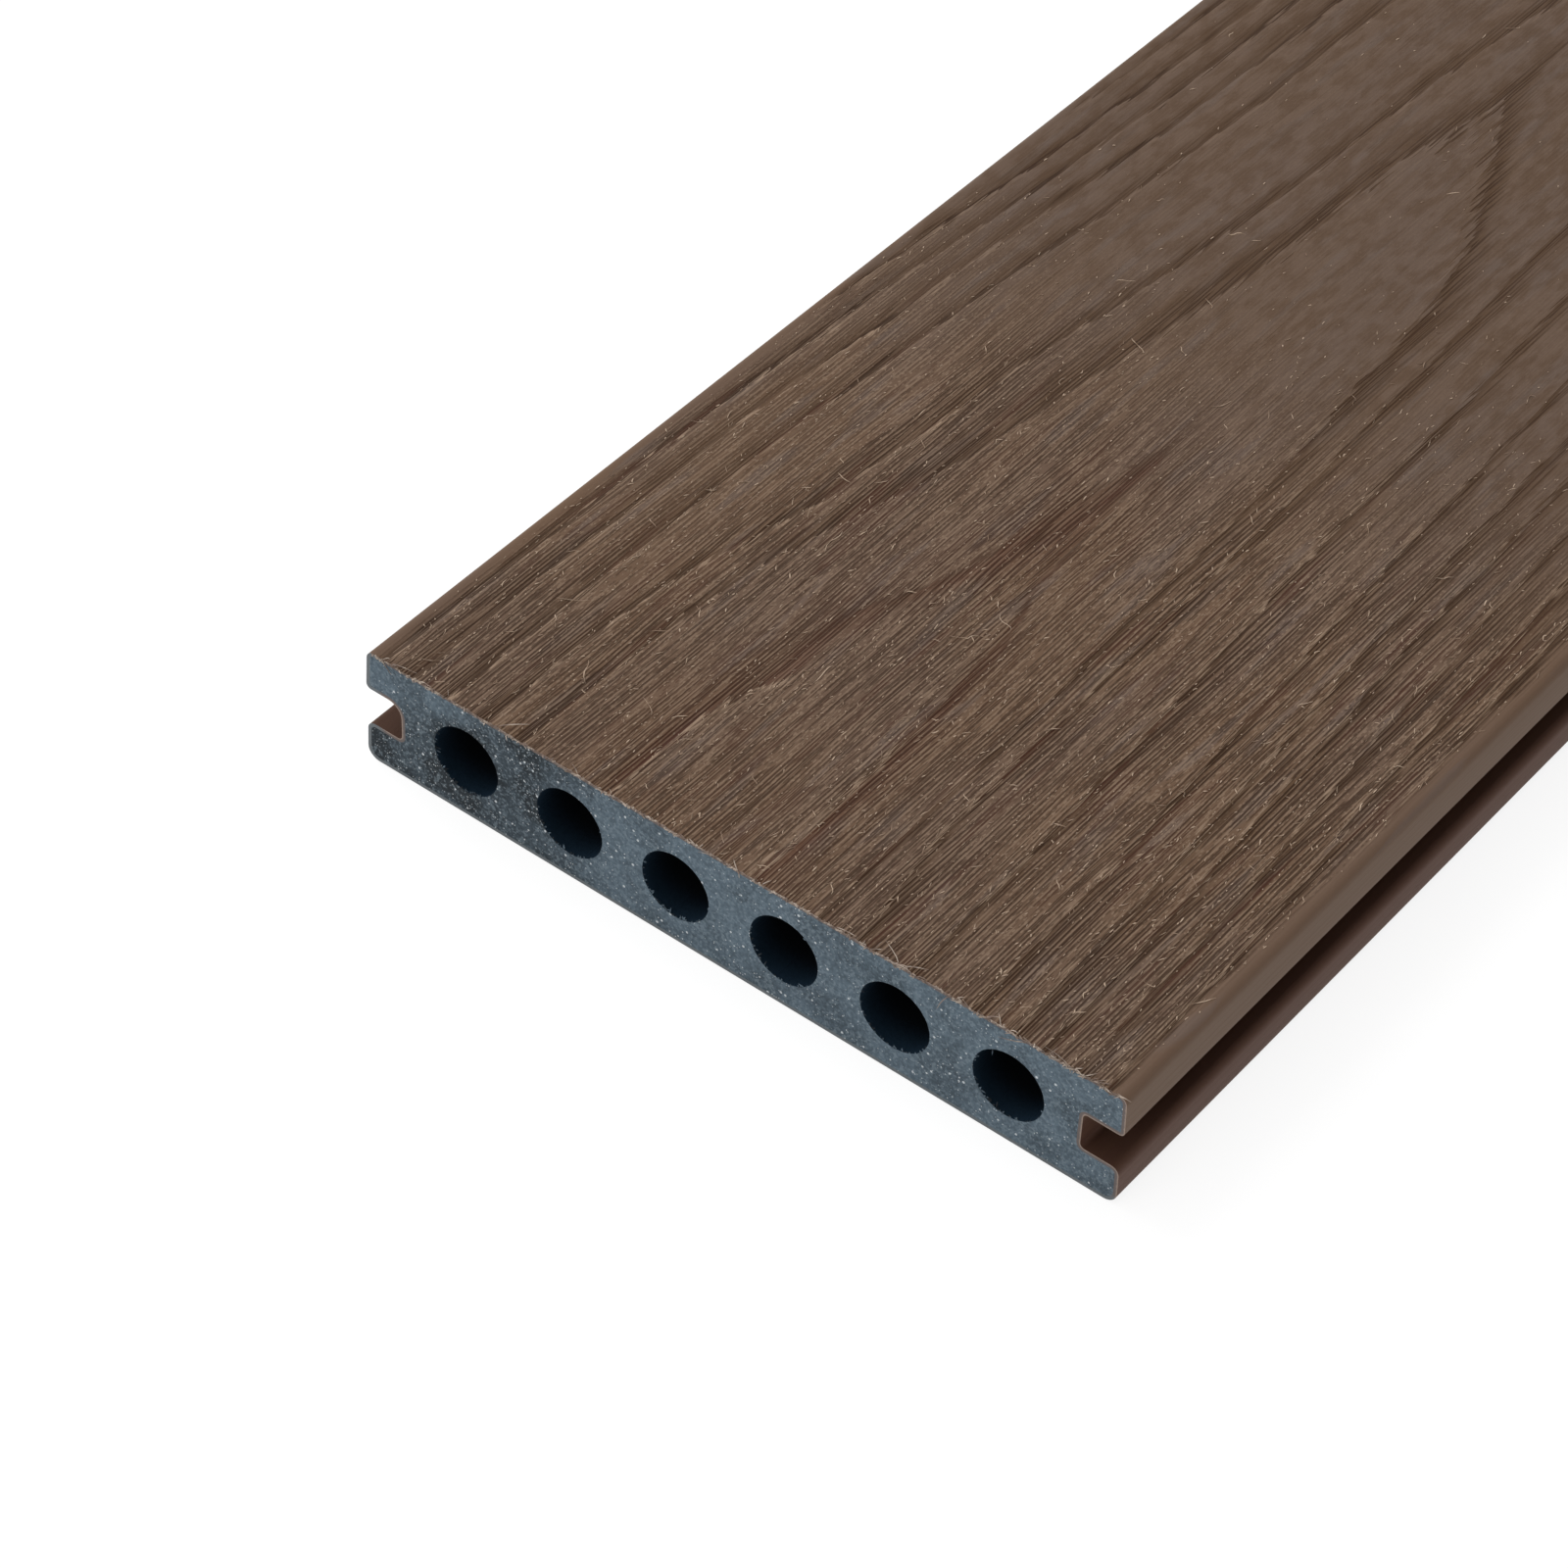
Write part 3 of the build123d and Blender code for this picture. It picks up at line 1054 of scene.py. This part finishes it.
def floor_material():
    """Pale floor that shows white to the camera and keeps the board's soft shadow."""
    material, place = new_material("pale_floor")
    tree = place.tree
    seen = seen_directly(tree)
    matt = add_node(tree, "BsdfDiffuse", {"Color": mixed(seen, FLOOR_WHITE, FLOOR_GREY)}).outputs[0]
    glow = add_node(tree, "Emission", {"Strength": seen * FLOOR_GLOW}).outputs[0]
    both = add_node(tree, "AddShader", {0: matt, 1: glow}).outputs[0]
    add_node(tree, "OutputMaterial", {"Surface": both})
    return material


def make_floor():
    """A flat square a hair below the board's underside, far wider than any view."""
    half = FLOOR_HALF_WIDTH
    sides = ((-half, -half), (half, -half), (half, half), (-half, half))
    corners = [(x, y, -FLOOR_DROP) for x, y in sides]
    mesh = bpy.data.meshes.new("floor")
    mesh.from_pydata(corners, [], [(0, 1, 2, 3)])
    floor = bpy.data.objects.new("floor", mesh)
    bpy.context.scene.collection.objects.link(floor)
    floor.data.materials.append(floor_material())


def soft_lamp(name, place, aim, size, energy):
    """A large square lamp at a place, turned towards a point on the board."""
    lamp = bpy.data.lights.new(name, "AREA")
    lamp.energy = energy
    lamp.size = size
    lamp_object = bpy.data.objects.new(name, lamp)
    lamp_object.location = place
    lamp_object.rotation_euler = (Vector(aim) - Vector(place)).to_track_quat("-Z", "Y").to_euler()
    bpy.context.scene.collection.objects.link(lamp_object)


def light_scene():
    """White surroundings that light the board most from above and the +Y side, a soft lamp on that side, a
    weaker one before the near end and a low one that lights the -Y lips."""
    world = bpy.data.worlds.new("studio")
    bpy.context.scene.world = world
    world.use_nodes = True
    tree = world.node_tree
    tree.nodes.clear()
    seen = seen_directly(tree)
    _, sideways, height = parts(Value(tree, add_node(tree, "TexCoord").outputs["Generated"]))
    light = ramped(height + sideways * 0.8, low=0.3, high=1.0, start=0.08, end=1.04)
    inputs = {"Color": (1, 1, 1, 1), "Strength": light + seen * (1 - light)}
    add_node(tree, "OutputWorld", {"Surface": add_node(tree, "Background", inputs).outputs[0]})
    soft_lamp("back_lamp", place=(-0.6, 1.6, 1.8), aim=(-0.8, 0, 0), size=1.6, energy=25.0)
    soft_lamp("front_lamp", place=(-2.8, 0.2, 0.9), aim=(-1.1, 0, 0), size=1.2, energy=10.0)
    soft_lamp("side_lamp", place=(-1.0, -2.4, 0.3), aim=(-1.0, 0, 0), size=0.8, energy=20.0)


CAMERA_PLACE = (-1.49654, -0.29781, 0.52880)
CAMERA_TURN = (45.3153, -2.0980, -51.8198)
CAMERA_LENS = 113.55
CAMERA_SENSOR = 36.0
CAMERA_CLIP = 0.01


def place_camera():
    """The photograph's view of the near end."""
    camera = bpy.data.cameras.new("camera")
    camera.lens = CAMERA_LENS
    camera.sensor_width = CAMERA_SENSOR
    camera.clip_start = CAMERA_CLIP
    camera_object = bpy.data.objects.new("camera", camera)
    camera_object.location = CAMERA_PLACE
    camera_object.rotation_euler = [math.radians(angle) for angle in CAMERA_TURN]
    bpy.context.scene.collection.objects.link(camera_object)
    bpy.context.scene.camera = camera_object


section_points, section_normals, top_points = board_loop()
make_cap(section_points, section_normals, top_points).data.materials.append(cap_material())
make_core(section_points, section_normals).data.materials.append(core_material())
face_fibre = fibre_material("torn_fibre", FIBRE_PALE, FIBRE_DARK)
for piece in (make_fibres(), make_flecks()):
    piece.data.materials.append(face_fibre)
make_fringe().data.materials.append(fibre_material("burr_fibre", BURR_PALE, BURR_DARK))
make_bore_teeth().data.materials.append(fibre_material("tooth_fibre", CORE_GREY, CORE_DARK))
make_floor()
light_scene()
place_camera()
bpy.context.scene.view_settings.view_transform = "Standard"
